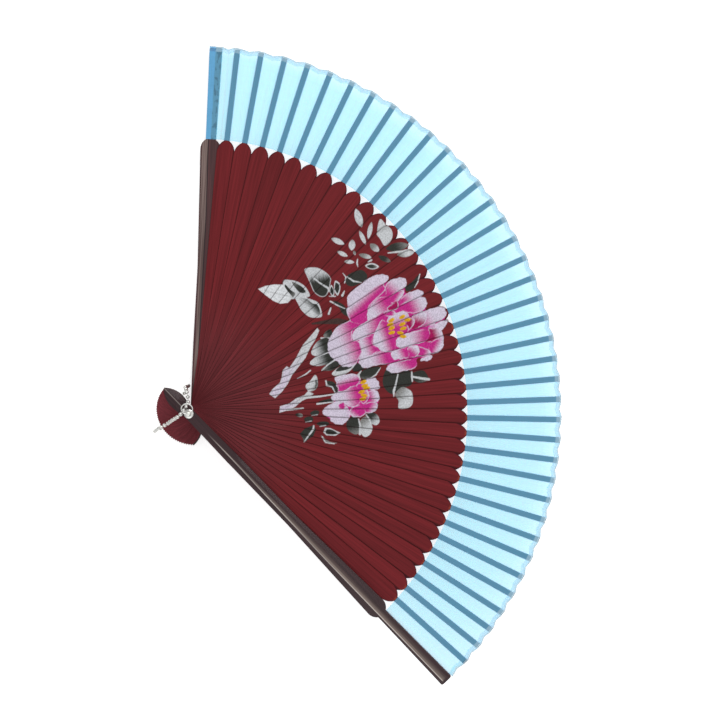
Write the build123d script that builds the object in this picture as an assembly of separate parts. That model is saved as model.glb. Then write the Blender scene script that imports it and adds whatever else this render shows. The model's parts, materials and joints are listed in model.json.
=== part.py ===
from build123d import *
from math import cos, degrees, pi, radians, sin
import os

# A folding fan, fully open. Z is the rivet's axis, z = 0 is the flat bottom of the rivet's back head,
# and the middle of the open fan points along +Y. Every stick is one flat layer on top of the next.

# Sticks, in mm. A stick's own X runs from the rivet out to its tip.
RIB_COUNT = 38
OPENING_DEG = 132.5
PITCH_SWING = 0.097         # the gaps narrow from this share over their middle width to as much under it
PITCH_SETTLES = 26          # the gap from which on they are all as narrow
GUARD_BACK_GAP = 0.9        # a guard's gap, next to what a rib's would be there
GUARD_FRONT_GAP = 1.29
STICK_REACH = 188.0         # rivet axis to the tip of a guard
SLIP_REACH = 187.9          # rivet axis to the end of a rib's slip
TAIL_REACH = 18.3           # rivet axis to the pointed tail
TAIL_HALF = 4.0
TAIL_BELLY = 10.0           # where the tail is widest
TAIL_ROUND = (-14.9, 2.55)  # a point on its outer arc
TAIL_HOLLOW = 0.33          # how far its inner arc bulges past a straight run to the neck
NECK_HALF = 2.6             # at the rivet
WAIST_HALF = 2.1
WAIST_AT = 40.0
WAIST_IN = (1, -0.02)       # the way the edge runs as it leaves the neck
WAIST_OUT = (1, 0.015)      # and as it leaves the waist
BLADE_HALF = 4.6
SHOULDER_START = 134.9      # the blade's round end starts here
GUARD_SHOULDER_START = 136.2
SHOULDER_END = 140.8        # and reaches the slip here
SLIP_HALF = 1.42

# Layers
BACK_HEAD_TOP = 2.0
WASHER_THICK = 0.7
LAYER_GAP = 0.12
GUARD_THICK = 2.2
RIB_THICK = 0.41
SLIP_THICK = 0.25
RIB_STEP = 0.53             # from one rib's underside to the next

# Guards. Their outer faces have a flat band down the middle, with a bevel on each side.
GUARD_WAIST_HALF = 3.15
GUARD_WAIST_START = 35.0
GUARD_WAIST_END = 75.0
GUARD_BLADE_HALF = 5.15
GUARD_SLIP_HALF = 2.6
GUARD_TIP_HALF = 3.3
GUARD_CORNER = 0.8
BEVEL_WIDE = 3.9            # across a bevel, from the band's edge
BEVEL_DROP = 1.1            # how much lower the outer face is there
BEVEL_AWAY = 5.4            # a bevel that starts this far from the middle misses the guard
# The band's half width along the guard: past the tip of the tail, on the tail, beside the rivet,
BAND_OF_TAIL = [(-19.3, 0.25), (-9.0, 0.8), (-2.5, BEVEL_AWAY)]
# and then from the neck out past the tip.
BAND_OF_BLADE = [(22.0, BEVEL_AWAY), (36.0, 1.6), (189.0, 1.6)]
INNER_BEVEL_START = 50.0
INNER_BEVEL_END = 127.0
INNER_BEVEL_WIDE = 2.6
INNER_BEVEL_DEEP = 0.5

# Rivet, washers and ring
PIN_R = 1.1
PIN_HOLE_R = 1.25
BACK_HEAD_R = 2.4
BACK_HEAD_ROUND = 0.4
BACK_WASHER_R = 3.1
FRONT_WASHER_R = 2.4
FRONT_HEAD_R = 1.3
FRONT_HEAD_TALL = 2.2
FRONT_HEAD_ROUND = 0.75
PIN_INTO_HEAD = 0.1
WASHER_EDGE_DROP = 0.3      # a cup washer's edge slopes down by this much
WASHER_EDGE_WIDE = 0.7      # over this width
WASHER_CLEAR = 0.03
RING_R = 2.83
RING_WIRE_R = 0.33
RING_HOLE_R = 0.58
RING_HOLE_SHIFT = 0.17      # the hole is off the head's axis, towards the ring, as the wire is bent
RING_TOWARDS_DEG = 169.8    # the way the ring lies, seen from above
RING_TILT_DEG = 20.0        # and how far its free side is lifted by the chain

# Leaf
LEAF_INNER = 141.0
LEAF_OUTER = 188.6
LEAF_RIM_DROP = 0.9         # the rim's folds stand in and out by this much
LEAF_THICK = 0.06
LEAF_CLEAR = 0.02
LEAF_SCALLOP = 0.8
LEAF_STEP = 0.06            # sideways room between a slip's edge and the leaf that climbs it
LEAF_LIFT = 0.1             # how high a free panel runs over the slip before

# Bead chain
CHAIN_R = 1.05
CONNECTOR_R = 1.2
CONNECTOR_LONG = 7.0
CONNECTOR_GAP = 0.08
CONNECTOR_ROUND = 0.35
SLOT_DEEP = 0.4             # the connector's slot, which shows the end beads
SLOT_WIDE = 0.6
SLOT_LONG = 4.8

FLAT = (Align.CENTER, Align.CENTER, Align.MIN)
GUARD_BACK_Z = BACK_HEAD_TOP + WASHER_THICK + 2 * WASHER_CLEAR
RIB_Z = GUARD_BACK_Z + GUARD_THICK + LAYER_GAP
GUARD_FRONT_Z = RIB_Z + (RIB_COUNT - 1) * RIB_STEP + RIB_THICK + LAYER_GAP
FRONT_WASHER_Z = GUARD_FRONT_Z + GUARD_THICK + WASHER_CLEAR
FRONT_HEAD_Z = FRONT_WASHER_Z + WASHER_THICK + WASHER_CLEAR
RING_Z = FRONT_HEAD_Z + FRONT_HEAD_TALL / 2

GAPS = RIB_COUNT + 1


def gap_share(gap):
    """How wide a gap between two sticks is, next to the others. Gap 0 is beside guard_back."""
    eased = 1 + PITCH_SWING * cos(pi * min(1, gap / PITCH_SETTLES))
    guard = {0: GUARD_BACK_GAP, GAPS - 1: GUARD_FRONT_GAP}
    return eased * guard.get(gap, 1)


SHARES = sum(gap_share(gap) for gap in range(GAPS))


def gap_deg(gap):
    return OPENING_DEG * gap_share(gap) / SHARES


def stick_deg(index):
    """The direction of a stick. Index 0 is guard_back, 1 to RIB_COUNT the ribs, the last guard_front."""
    return 90 + OPENING_DEG / 2 - sum(gap_deg(gap) for gap in range(index))


def mirrored_face(upper):
    """A face from the upper half of its outline, whose ends lie on the X axis."""
    lower = mirror(upper, about=Plane.XZ)
    return make_face(upper + lower)


def tail_edges(neck_half):
    """The upper edge of the petal behind the rivet, from its point to the neck."""
    point = (-TAIL_REACH, 0)
    belly = (-TAIL_BELLY, TAIL_HALF)
    hollow = (-TAIL_BELLY / 2, (TAIL_HALF + neck_half) / 2 + TAIL_HOLLOW)
    return [ThreePointArc(point, TAIL_ROUND, belly), ThreePointArc(belly, hollow, (0, neck_half))]


def shoulder_edge(start, blade_half, slip_half):
    """The blade's round end, from its edge in to the slip."""
    return TangentArc((start, blade_half), (SHOULDER_END, slip_half), tangent=(1, 0))


def rib_outline():
    upper = Curve() + [
        *tail_edges(NECK_HALF),
        Spline((0, NECK_HALF), (WAIST_AT, WAIST_HALF), tangents=[WAIST_IN, WAIST_OUT]),
        Line((WAIST_AT, WAIST_HALF), (SHOULDER_START, BLADE_HALF)),
        shoulder_edge(SHOULDER_START, BLADE_HALF, SLIP_HALF),
        Line((SHOULDER_END, SLIP_HALF), (SLIP_REACH, SLIP_HALF)),
        Line((SLIP_REACH, SLIP_HALF), (SLIP_REACH, 0)),
    ]
    return mirrored_face(upper)


def guard_outline():
    corner_x = STICK_REACH - GUARD_CORNER
    corner_y = GUARD_TIP_HALF - GUARD_CORNER
    corner_mid = (corner_x + GUARD_CORNER * cos(radians(45)), corner_y + GUARD_CORNER * sin(radians(45)))
    upper = Curve() + [
        *tail_edges(NECK_HALF),
        Line((0, NECK_HALF), (GUARD_WAIST_START, GUARD_WAIST_HALF)),
        Line((GUARD_WAIST_START, GUARD_WAIST_HALF), (GUARD_WAIST_END, GUARD_WAIST_HALF)),
        Line((GUARD_WAIST_END, GUARD_WAIST_HALF), (GUARD_SHOULDER_START, GUARD_BLADE_HALF)),
        shoulder_edge(GUARD_SHOULDER_START, GUARD_BLADE_HALF, GUARD_SLIP_HALF),
        Line((SHOULDER_END, GUARD_SLIP_HALF), (corner_x, GUARD_TIP_HALF)),
        ThreePointArc((corner_x, GUARD_TIP_HALF), corner_mid, (STICK_REACH, corner_y)),
        Line((STICK_REACH, corner_y), (STICK_REACH, 0)),
    ]
    return mirrored_face(upper)


def make_rib():
    """One rib, flat on z = 0, with its slip thinned from the top and the pivot hole through it."""
    body = extrude(rib_outline(), RIB_THICK)
    over_slip = Pos(SHOULDER_END, -BLADE_HALF, SLIP_THICK) * Box(
        SLIP_REACH, 2 * BLADE_HALF, RIB_THICK, align=Align.MIN
    )
    return body - over_slip - Cylinder(PIN_HOLE_R, 3 * RIB_THICK)


def bevel_section(x, band_half, side):
    outer = band_half + BEVEL_WIDE
    corners = [(band_half, 0), (outer, -BEVEL_DROP), (outer, GUARD_THICK), (band_half, GUARD_THICK)]
    return make_face(Polyline([(x, side * y, GUARD_THICK + z) for y, z in corners], close=True))


def bevel_cutters():
    """The wedges taken off a guard's outer face, beside the band."""
    cutters = []
    for side in (1, -1):
        for band in (BAND_OF_TAIL, BAND_OF_BLADE):
            sections = [bevel_section(x, band_half, side) for x, band_half in band]
            cutters += [loft([a, b], ruled=True) for a, b in zip(sections, sections[1:])]
    return cutters


def make_guard():
    """One guard, its flat inside face on z = 0 and its bevelled outside up."""
    body = extrude(guard_outline(), GUARD_THICK)
    for cutter in bevel_cutters():
        body -= cutter
    return body - Cylinder(PIN_HOLE_R, 3 * GUARD_THICK)


def make_guard_back():
    """The back guard: turned over, with a shallow bevel along the outer side of its inside face."""
    guard = Pos(0, 0, GUARD_THICK) * Rot(X=180) * make_guard()
    half = GUARD_BLADE_HALF + 1
    section = Polyline(
        [
            (INNER_BEVEL_START, half - INNER_BEVEL_WIDE, GUARD_THICK),
            (INNER_BEVEL_START, half, GUARD_THICK - INNER_BEVEL_DEEP),
            (INNER_BEVEL_START, half, GUARD_THICK + 1),
        ],
        close=True,
    )
    cutter = extrude(make_face(section), INNER_BEVEL_END - INNER_BEVEL_START, dir=(1, 0, 0))
    return guard - cutter


def make_rivet():
    """The pin with its flat back head, and the domed front head with the ring's cross hole."""
    back_head = fillet(Cylinder(BACK_HEAD_R, BACK_HEAD_TOP, align=FLAT).edges(), BACK_HEAD_ROUND)
    pin = Cylinder(PIN_R, FRONT_HEAD_Z + PIN_INTO_HEAD, align=FLAT)
    head = Pos(0, 0, FRONT_HEAD_Z) * Cylinder(FRONT_HEAD_R, FRONT_HEAD_TALL, align=FLAT)
    head = fillet(head.edges().group_by(Axis.Z)[-1], FRONT_HEAD_ROUND)
    across = Pos(RING_HOLE_SHIFT, 0, 0) * Rot(X=90) * Cylinder(RING_HOLE_R, 4 * FRONT_HEAD_R)
    across = Pos(0, 0, RING_Z) * Rot(Z=RING_TOWARDS_DEG) * across
    return back_head + pin + head - across


def make_washer(radius, z):
    """A cup washer, thinner at its rim, with the pin's hole through it."""
    cup = Cylinder(radius, WASHER_THICK, align=FLAT)
    cup = chamfer(cup.edges().group_by(Axis.Z)[-1], WASHER_EDGE_DROP, WASHER_EDGE_WIDE)
    return Pos(0, 0, z) * (cup - Cylinder(PIN_HOLE_R, 4 * WASHER_THICK))


def make_ring():
    """The wire ring, whose wire passes through the middle of the rivet's front head."""
    ring = Pos(RING_R, 0, 0) * Torus(RING_R, RING_WIRE_R)
    return Pos(0, 0, RING_Z) * Rot(Z=RING_TOWARDS_DEG) * Rot(Y=-RING_TILT_DEG) * ring


def place(stick, index, z):
    return Pos(0, 0, z) * Rot(Z=stick_deg(index)) * stick


def polar(radius, way_deg, z):
    return Vector(radius * cos(radians(way_deg)), radius * sin(radians(way_deg)), z)


def slip_top(index):
    """The height of the leaf's underside on a stick's slip."""
    if index == 0:
        return GUARD_BACK_Z + GUARD_THICK + LEAF_CLEAR
    if index == GAPS:
        return GUARD_FRONT_Z - LEAF_CLEAR - LEAF_THICK
    return RIB_Z + (index - 1) * RIB_STEP + SLIP_THICK + LEAF_CLEAR


def beside(index, radius, offset, z):
    """A point at a radius along a stick and an offset to its left, which is anticlockwise from above."""
    way = stick_deg(index)
    return polar(radius, way, z) + polar(offset, way + 90, 0)


def leaf_folds():
    """Each fold line of the leaf, from inner end to rim, in order from guard_back to guard_front."""
    top = slip_top(0)
    folds = [
        (beside(0, LEAF_INNER, GUARD_SLIP_HALF, top), beside(0, LEAF_OUTER, GUARD_TIP_HALF, top)),
        (beside(0, LEAF_INNER, -GUARD_SLIP_HALF, top), beside(0, LEAF_OUTER, -GUARD_TIP_HALF, top)),
    ]
    edge = SLIP_HALF + LEAF_STEP
    for index in range(1, GAPS):
        low = slip_top(index - 1) + LEAF_LIFT
        high = slip_top(index)
        dip = high - LEAF_CLEAR
        valley = (stick_deg(index) + stick_deg(index + 1)) / 2 + degrees(SLIP_HALF / LEAF_OUTER)
        for offset, z in ((edge + LEAF_STEP, low), (edge, high), (-edge, high)):
            folds.append((beside(index, LEAF_INNER, offset, z), beside(index, LEAF_OUTER, offset, z)))
        if index < RIB_COUNT:
            inner_end = polar(LEAF_INNER + LEAF_SCALLOP, valley, dip)
            folds.append((inner_end, polar(LEAF_OUTER - LEAF_RIM_DROP, valley, dip)))
    top = slip_top(GAPS)
    folds.append((beside(GAPS, LEAF_INNER, 0, top), beside(GAPS, LEAF_OUTER, 0, top)))
    return folds


def make_leaf():
    """The pleated sheet as one thin closed solid: ruled strips from the inner edge to the rim."""
    inner = [fold[0] for fold in leaf_folds()]
    outer = [fold[1] for fold in leaf_folds()]
    up = Vector(0, 0, LEAF_THICK)
    faces = []
    for start in range(len(inner) - 1):
        near = (inner[start], inner[start + 1])
        far = (outer[start], outer[start + 1])
        for lift in (Vector(0, 0, 0), up):
            near_edge = Edge.make_line(near[0] + lift, near[1] + lift)
            far_edge = Edge.make_line(far[0] + lift, far[1] + lift)
            faces.append(Face.make_surface_from_curves(near_edge, far_edge))
        for a, b in (near, far):
            faces.append(Face(Wire.make_polygon([a, b, b + up, a + up])))
    for a, b in ((inner[0], outer[0]), (inner[-1], outer[-1])):
        faces.append(Face(Wire.make_polygon([a, b, b + up, a + up])))
    return Solid(Shell(faces))


# The bead chain's route: out of the connector's far end, under the tails to their edge,
# up and over them, through the ring, down the notch beside guard_back and back to the connector.
CONNECTOR_MIDDLE = Vector(-4.5, -11.0, 1.25)
CONNECTOR_WAY = Vector(0.555, -0.832, 0)
CHAIN_ROUTE = [
    (2.8, -19.5, 1.2),
    (2.3, -23.9, 5.9),
    (2.9, -22.3, 13.1),
    (1.6, -18.3, 20.7),
    (1.2, -12.9, 22.6),
    (0.1, -9.2, 27.2),
    (-0.7, -3.5, 32.9),
    (-3.4, -0.1, 30.6),
    (-5.3, 2.1, 28.7),
    (-10.8, 3.2, 28.6),
    (-13.6, 2.3, 23.8),
    (-13.2, 1.3, 14.8),
    (-13.4, 1.5, 7.4),
    (-13.4, 0.6, 1.6),
    (-10.3, -3.3, 1.2),
]


def chain_points():
    reach = CONNECTOR_LONG / 2 + CONNECTOR_GAP
    start = CONNECTOR_MIDDLE + CONNECTOR_WAY * reach
    end = CONNECTOR_MIDDLE - CONNECTOR_WAY * reach
    return [start, *[Vector(*point) for point in CHAIN_ROUTE], end]


def bend_radii(points):
    """The largest arc that each corner's two runs allow."""
    radii = []
    for before, corner, after in zip(points, points[1:], points[2:]):
        arriving = corner - before
        leaving = after - corner
        turn = radians(arriving.get_angle(leaving))
        shorter = min(arriving.length, leaving.length)
        radii.append(0.45 * shorter * cos(turn / 2) / sin(turn / 2))
    return radii


def make_chain():
    points = chain_points()
    radii = bend_radii(points)
    path = FilletPolyline(*points, radius=radii)
    start = Plane(origin=points[0], z_dir=points[1] - points[0])
    tube = sweep(start * Circle(CHAIN_R), path=path)
    print("chain length", round(path.length, 1), "smallest radius", round(min(radii), 1))
    print("chain volume share", round(tube.volume / (pi * CHAIN_R**2 * path.length), 4))
    return tube


def make_connector():
    """The clasp that holds the chain's two end beads: a tube with rounded ends and a slot along it."""
    tube = Cylinder(CONNECTOR_R, CONNECTOR_LONG)
    tube = fillet(tube.edges().filter_by(GeomType.CIRCLE), CONNECTOR_ROUND)
    slot = Pos(CONNECTOR_R, 0, 0) * Box(2 * SLOT_DEEP, SLOT_WIDE, SLOT_LONG)
    across = Plane(origin=CONNECTOR_MIDDLE, x_dir=(0, 0, 1), z_dir=CONNECTOR_WAY)
    return across * (tube - slot)


def make_parts():
    parts = {
        "guard_back": place(make_guard_back(), 0, GUARD_BACK_Z),
        "guard_front": place(make_guard(), GAPS, GUARD_FRONT_Z),
        "leaf": make_leaf(),
        "rivet": make_rivet(),
        "washer_back": make_washer(BACK_WASHER_R, BACK_HEAD_TOP + WASHER_CLEAR),
        "washer_front": make_washer(FRONT_WASHER_R, FRONT_WASHER_Z),
        "ring": make_ring(),
        "ball_chain": make_chain(),
        "chain_connector": make_connector(),
    }
    rib = make_rib()
    for index in range(1, RIB_COUNT + 1):
        z = RIB_Z + (index - 1) * RIB_STEP
        parts[f"rib_{index:02d}"] = place(rib, index, z)
    return parts


os.makedirs("parts", exist_ok=True)
for node, shape in make_parts().items():
    export_step(shape, f"parts/{node}.step")
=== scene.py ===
import json
from math import cos, pi, radians, sin

import bmesh
import bpy
import numpy as np
from mathutils import Matrix, Vector


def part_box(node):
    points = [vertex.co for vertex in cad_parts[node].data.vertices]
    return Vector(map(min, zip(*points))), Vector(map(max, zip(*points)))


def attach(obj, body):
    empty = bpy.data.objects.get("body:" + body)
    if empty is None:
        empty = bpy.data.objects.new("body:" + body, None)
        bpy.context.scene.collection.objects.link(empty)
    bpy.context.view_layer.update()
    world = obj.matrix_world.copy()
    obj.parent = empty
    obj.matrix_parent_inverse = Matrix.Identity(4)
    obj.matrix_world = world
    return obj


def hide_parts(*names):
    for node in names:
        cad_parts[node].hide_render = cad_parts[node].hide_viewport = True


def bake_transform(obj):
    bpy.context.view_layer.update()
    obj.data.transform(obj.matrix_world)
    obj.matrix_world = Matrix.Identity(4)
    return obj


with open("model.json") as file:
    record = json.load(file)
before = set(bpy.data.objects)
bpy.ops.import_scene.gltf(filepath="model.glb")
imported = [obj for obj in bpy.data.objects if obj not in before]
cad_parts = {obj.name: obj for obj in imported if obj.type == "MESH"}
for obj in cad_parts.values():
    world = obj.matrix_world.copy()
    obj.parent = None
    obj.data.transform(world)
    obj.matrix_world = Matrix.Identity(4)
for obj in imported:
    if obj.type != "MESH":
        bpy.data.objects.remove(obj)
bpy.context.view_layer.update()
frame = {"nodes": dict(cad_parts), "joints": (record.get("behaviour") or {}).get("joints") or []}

MM = 0.001

# ---------------------------------------------------------------- the frame, read back

GAP_DEG = {joint["child"]: joint["range_deg"][1] for joint in frame["joints"] if "fold" in joint["name"]}
STICKS = ["guard_back", *sorted(name for name in frame["nodes"] if name.startswith("rib_")), "guard_front"]
OPENING = sum(GAP_DEG.values())
RIB_THICK = 0.41
SLIP_THICK = 0.25
SLIP_HALF = 1.42
GUARD_THICK = 2.2
GUARD_SLIP_HALF = 2.6
GUARD_TIP_HALF = 3.3

# A rib's half width: it narrows from the neck to the waist, then widens to a round shoulder.
NECK_HALF = 2.6
WAIST_HALF = 2.1
WAIST_AT = 40.0
BLADE_HALF = 4.6
SHOULDER_START = 134.9
SHOULDER_END = 140.8
SHOULDER_DEEP = BLADE_HALF - SLIP_HALF
SHOULDER_R = ((SHOULDER_END - SHOULDER_START) ** 2 + SHOULDER_DEEP**2) / (2 * SHOULDER_DEEP)
NECK_SLOPE = (WAIST_HALF - NECK_HALF) / WAIST_AT
BLADE_SLOPE = (BLADE_HALF - WAIST_HALF) / (SHOULDER_START - WAIST_AT)


def stick_direction(index):
    """The direction of a stick in degrees. Index 0 is guard_back, the last guard_front."""
    return 90 + OPENING / 2 - sum(GAP_DEG[name] for name in STICKS[:index])


def stick_bottom(index):
    """The height of a stick's underside, in mm."""
    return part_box(STICKS[index])[0].z / MM


def polar(radius, degrees_, z):
    """A point in mm around the rivet's axis, as a vector in metres."""
    return Vector((radius * cos(radians(degrees_)), radius * sin(radians(degrees_)), z)) * MM


def beside(index, radius, offset, z):
    """A point along a stick and to its left, seen from above, in mm, as a vector in metres."""
    way = stick_direction(index)
    return polar(radius, way, z) + polar(offset, way + 90, 0)


def mix(a, b, t):
    return a + (b - a) * t


def new_object(name, mesh):
    piece = bpy.data.objects.new(name, mesh)
    bpy.context.scene.collection.objects.link(piece)
    return piece


def tone(red, green, blue):
    """A display colour from 0 to 255 as linear light."""
    levels = [level / 255 for level in (red, green, blue)]
    return tuple(v / 12.92 if v < 0.04045 else ((v + 0.055) / 1.055) ** 2.4 for v in levels)


# ---------------------------------------------------------------- camera, light and floor

CAMERA_PLACE = (-0.01054, 0.12901, 0.77642)
CAMERA_ROLL = 69.8
CAMERA_TURN = (-0.0509, -0.0200, -0.0007)
CAMERA_FOCAL = 2.0708      # focal length as a share of the picture's width
FLOOR_REACH = 20.0         # how far the floor goes each way, in m
FLOOR_GLOW = 0.62
SKY_LIGHT = 0.62


def make_camera():
    data = bpy.data.cameras.new("camera")
    data.sensor_width = 36
    data.lens = CAMERA_FOCAL * data.sensor_width
    data.clip_start = 0.01
    camera = bpy.data.objects.new("camera", data)
    roll = Matrix.Rotation(radians(CAMERA_ROLL), 3, "Z")
    axis = Vector(CAMERA_TURN)
    turn = Matrix.Rotation(axis.length, 3, axis.normalized())
    camera.matrix_world = Matrix.Translation(CAMERA_PLACE) @ (turn @ roll).to_4x4()
    bpy.context.scene.collection.objects.link(camera)
    bpy.context.scene.camera = camera


def make_floor():
    """A white light table, a little brighter than the light that falls on it."""
    mesh = bpy.data.meshes.new("floor")
    corners = [(x * FLOOR_REACH, y * FLOOR_REACH, 0) for x, y in [(-1, -1), (1, -1), (1, 1), (-1, 1)]]
    mesh.from_pydata(corners, [], [(0, 1, 2, 3)])
    floor = new_object("floor", mesh)
    material = bpy.data.materials.new("floor")
    material.use_nodes = True
    shader = material.node_tree.nodes["Principled BSDF"]
    shader.inputs["Base Color"].default_value = (0.8, 0.8, 0.8, 1)
    shader.inputs["Roughness"].default_value = 0.9
    shader.inputs["Emission Color"].default_value = (1, 1, 1, 1)
    shader.inputs["Emission Strength"].default_value = FLOOR_GLOW
    mesh.materials.append(material)


def make_area_light(name, place, size, power):
    data = bpy.data.lights.new(name, "AREA")
    data.size = size
    data.energy = power
    light = bpy.data.objects.new(name, data)
    light.location = place
    light.rotation_euler = (Vector((0, 0.08, 0)) - Vector(place)).to_track_quat("-Z", "Y").to_euler()
    bpy.context.scene.collection.objects.link(light)


def make_world():
    """Soft white light from above that dims towards the horizon."""
    world = bpy.data.worlds.new("world")
    world.use_nodes = True
    nodes = world.node_tree.nodes
    links = world.node_tree.links
    where = nodes.new("ShaderNodeTexCoord")
    split = nodes.new("ShaderNodeSeparateXYZ")
    ramp = nodes.new("ShaderNodeValToRGB")
    ramp.color_ramp.elements[0].position = 0.05
    ramp.color_ramp.elements[0].color = (0.3, 0.3, 0.31, 1)
    ramp.color_ramp.elements[1].position = 0.75
    ramp.color_ramp.elements[1].color = (1, 1, 1, 1)
    links.new(where.outputs["Generated"], split.inputs[0])
    links.new(split.outputs["Z"], ramp.inputs[0])
    links.new(ramp.outputs["Color"], nodes["Background"].inputs["Color"])
    nodes["Background"].inputs["Strength"].default_value = SKY_LIGHT
    bpy.context.scene.world = world
    bpy.context.scene.view_settings.view_transform = "Standard"


make_camera()
make_floor()
make_world()
make_area_light("key", (-0.55, 0.75, 1.1), 0.6, 8)
make_area_light("fill", (0.8, -0.3, 1.0), 1.0, 3)

# ---------------------------------------------------------------- node helpers


class Nodes:
    """A material's node tree, with a short call for each kind of node it uses."""

    def __init__(self, name):
        self.material = bpy.data.materials.new(name)
        self.material.use_nodes = True
        self.tree = self.material.node_tree
        self.shader = self.tree.nodes["Principled BSDF"]

    def node(self, kind, inputs, **settings):
        made = self.tree.nodes.new(f"ShaderNode{kind}")
        for key, value in settings.items():
            setattr(made, key, value)
        for key, value in inputs.items():
            self.feed(made.inputs[key], value)
        return made

    def feed(self, socket, value):
        if isinstance(value, bpy.types.NodeSocket):
            self.tree.links.new(value, socket)
        elif isinstance(value, tuple) and socket.type == "RGBA":
            socket.default_value = (*value, 1)[:4]
        else:
            socket.default_value = value

    def math(self, operation, a, b=0.0):
        return self.node("Math", {0: a, 1: b}, operation=operation).outputs[0]

    def times(self, first, *others):
        for other in others:
            first = self.math("MULTIPLY", first, other)
        return first

    def smooth(self, value, low, high, to_low=0.0, to_high=1.0):
        """Goes smoothly from to_low at low to to_high at high."""
        inputs = {"Value": value, "From Min": low, "From Max": high, "To Min": to_low, "To Max": to_high}
        return self.node("MapRange", inputs, interpolation_type="SMOOTHSTEP").outputs[0]

    def blend(self, share, a, b, kind="MIX"):
        mixer = self.node("Mix", {}, data_type="RGBA", blend_type=kind)
        self.feed(mixer.inputs[0], share)
        self.feed(mixer.inputs[6], a)
        self.feed(mixer.inputs[7], b)
        return mixer.outputs[2]

    def object_place(self):
        return self.node("TexCoord", {}).outputs["Object"]

    def along_stick(self, direction):
        """Where a point is along a stick, and to its left, in mm."""
        inputs = {"Vector": self.object_place(), "Angle": radians(-direction)}
        turned = self.node("VectorRotate", inputs, rotation_type="Z_AXIS")
        split = self.node("SeparateXYZ", {0: turned.outputs[0]})
        return self.times(split.outputs[0], 1 / MM), self.times(split.outputs[1], 1 / MM)

    def noise(self, along, left, along_scale, left_scale, seed, detail=3.0):
        """Streaky noise around 0.5."""
        place = self.node(
            "CombineXYZ",
            {0: self.times(along, along_scale), 1: self.times(left, left_scale), 2: seed},
        )
        inputs = {"Vector": place.outputs[0], "Scale": 1.0, "Detail": detail}
        return self.node("TexNoise", inputs).outputs[0]

    def bump(self, height, distance, strength):
        inputs = {"Height": height, "Distance": distance * MM, "Strength": strength}
        self.feed(self.shader.inputs["Normal"], self.node("Bump", inputs).outputs[0])

    def finish(self, color, rough, **constants):
        self.feed(self.shader.inputs["Base Color"], color)
        self.feed(self.shader.inputs["Roughness"], rough)
        for key, value in constants.items():
            self.shader.inputs[key.replace("_", " ")].default_value = value
        return self.material


# ---------------------------------------------------------------- wood

RIB_RED = tone(110, 29, 34)
RIB_BROWN = tone(105, 39, 44)
RIB_TAIL = tone(126, 52, 60)
RIB_TONES = [1.0, 0.93, 1.06, 0.97, 0.9, 1.04, 0.95]     # how light one rib is next to the next
SHADE_SPREAD = 0.0075      # how wide the painted shade beside the next rib is, as a share of the way out


def blade_half(nodes, along):
    near = nodes.math("ADD", nodes.times(along, NECK_SLOPE), NECK_HALF)
    far = nodes.times(nodes.math("SUBTRACT", along, WAIST_AT), BLADE_SLOPE)
    return nodes.math("MAXIMUM", near, nodes.math("ADD", far, WAIST_HALF))


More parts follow.
